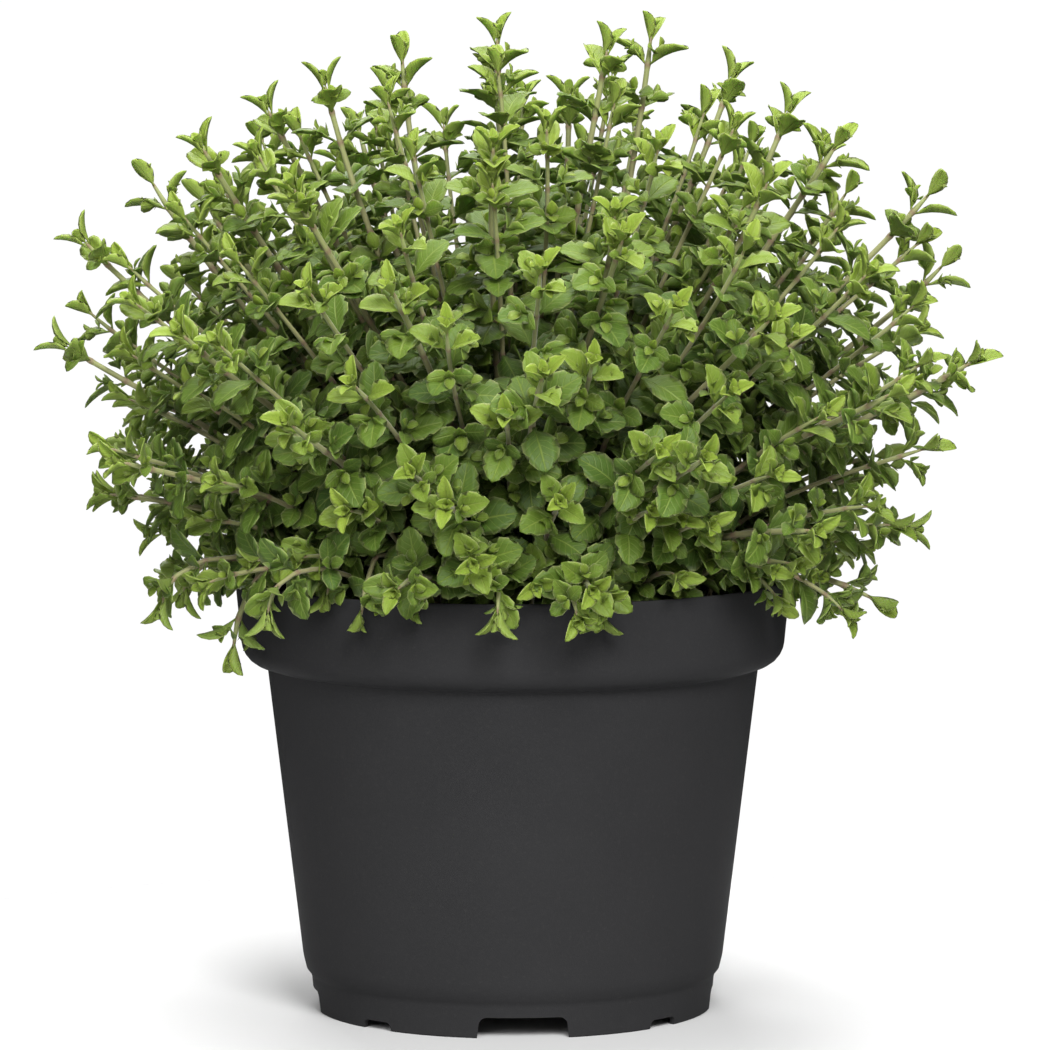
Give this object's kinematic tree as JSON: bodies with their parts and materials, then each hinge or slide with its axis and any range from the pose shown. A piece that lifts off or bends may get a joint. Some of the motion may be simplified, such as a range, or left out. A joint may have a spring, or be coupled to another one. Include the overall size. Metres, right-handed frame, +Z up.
{
  "type": "oregano plant in pot",
  "caption": "Bushy oregano plant with small opposite leaves on upright square stems, in a round black nursery pot with a rim band.",
  "frame": {"origin": "centre of the object's box at the level of the surface that the pot stands on, close to the pot's axis", "axes": "+Z up along the pot's axis, -Y towards the viewer of the picture, +X to the viewer's right"},
  "size_m": [0.2955, 0.2627, 0.304],
  "materials": {
    "pot_plastic": "satin",
    "soil": "matte",
    "foliage": "matte"
  },
  "bodies": {
    "root": {"pot": "pot_plastic", "potting_soil": "soil", "leafy_stem_01": "foliage", "leafy_stem_02": "foliage", "leafy_stem_03": "foliage", "leafy_stem_04": "foliage", "leafy_stem_05": "foliage", "leafy_stem_06": "foliage", "leafy_stem_07": "foliage", "leafy_stem_08": "foliage", "leafy_stem_09": "foliage", "leafy_stem_10": "foliage", "leafy_stem_11": "foliage", "leafy_stem_12": "foliage", "leafy_stem_13": "foliage", "leafy_stem_14": "foliage", "leafy_stem_15": "foliage", "leafy_stem_16": "foliage", "leafy_stem_17": "foliage", "leafy_stem_18": "foliage", "leafy_stem_19": "foliage", "leafy_stem_20": "foliage", "leafy_stem_21": "foliage", "leafy_stem_22": "foliage", "leafy_stem_23": "foliage", "leafy_stem_24": "foliage", "leafy_stem_25": "foliage", "leafy_stem_26": "foliage", "leafy_stem_27": "foliage", "leafy_stem_28": "foliage", "leafy_stem_29": "foliage", "leafy_stem_30": "foliage", "leafy_stem_31": "foliage", "leafy_stem_32": "foliage", "leafy_stem_33": "foliage", "leafy_stem_34": "foliage", "leafy_stem_35": "foliage", "leafy_stem_36": "foliage", "leafy_stem_37": "foliage", "leafy_stem_38": "foliage", "leafy_stem_39": "foliage", "leafy_stem_40": "foliage", "leafy_stem_41": "foliage", "leafy_stem_42": "foliage", "leafy_stem_43": "foliage", "leafy_stem_44": "foliage", "leafy_stem_45": "foliage", "leafy_stem_46": "foliage", "leafy_stem_47": "foliage", "leafy_stem_48": "foliage", "leafy_stem_49": "foliage", "leafy_stem_50": "foliage", "leafy_stem_51": "foliage", "leafy_stem_52": "foliage", "leafy_stem_53": "foliage"}
  },
  "joints": []
}
